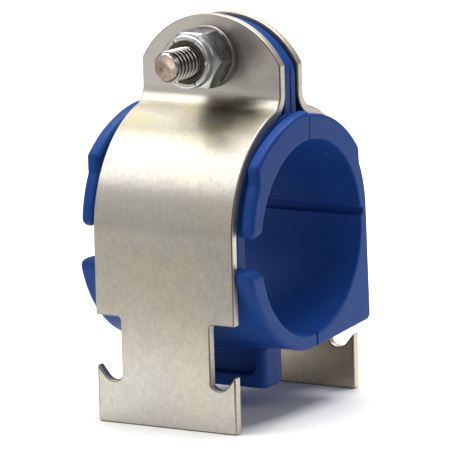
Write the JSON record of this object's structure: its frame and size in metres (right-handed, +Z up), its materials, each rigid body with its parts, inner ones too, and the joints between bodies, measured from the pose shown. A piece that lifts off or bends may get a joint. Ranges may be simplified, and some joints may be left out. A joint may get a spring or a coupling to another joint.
{
  "type": "cushioned tube clamp",
  "caption": "Two-piece steel tube clamp with a blue plastic cushion, hooked feet for slotted channel, and a bolt, washer and locknut through its ears.",
  "frame": {"origin": "on the floor under the middle of the ring: centre of the bottom of the bounding box, with the feet's lower edges at z = 0", "axes": "+X along the tube's axis, +Y from the front half (with the nut) to the rear half (with the bolt head), +Z up from the feet to the ears"},
  "size_m": [0.0394, 0.048, 0.0792],
  "materials": {
    "strap_steel": "zinc plated, satin, faintly yellow",
    "bolt_steel": "zinc plated, semi-bright",
    "washer_steel": "zinc plated, semi-bright",
    "nut_steel": "zinc plated, semi-bright, darker",
    "blue_plastic": "satin moulded",
    "nylon": "matte"
  },
  "bodies": {
    "front_half": {"front_strap": "strap_steel", "front_cushion": "blue_plastic", "washer": "washer_steel"},
    "nut": {"locknut": "nut_steel", "nut_insert": "nylon"},
    "screw": {"bolt": "bolt_steel"},
    "rear_half": {"rear_strap": "strap_steel", "rear_cushion": "blue_plastic"}
  },
  "joints": [
    {"name": "nut_turn", "type": "hinge", "parent": "front_half", "child": "nut", "pos_m": [0, -0.0099, 0.07085], "axis": [0, -1, 0], "range_deg": [0, 1800]},
    {"name": "bolt_travel", "type": "slide", "parent": "front_half", "child": "screw", "axis": [0, 1, 0], "range_m": [0, 0.006]},
    {"name": "rear_half_open", "type": "hinge", "parent": "front_half", "child": "rear_half", "pos_m": [0, 0.00145, 0.01365], "axis": [-1, 0, 0], "range_deg": [0, 5.2]}
  ],
  "couplings": [
    {"joint": "nut_turn", "follows": "bolt_travel", "rad_per_m": 4947.4},
    {"joint": "rear_half_open", "follows": "bolt_travel", "rad_per_m": 13.85}
  ]
}
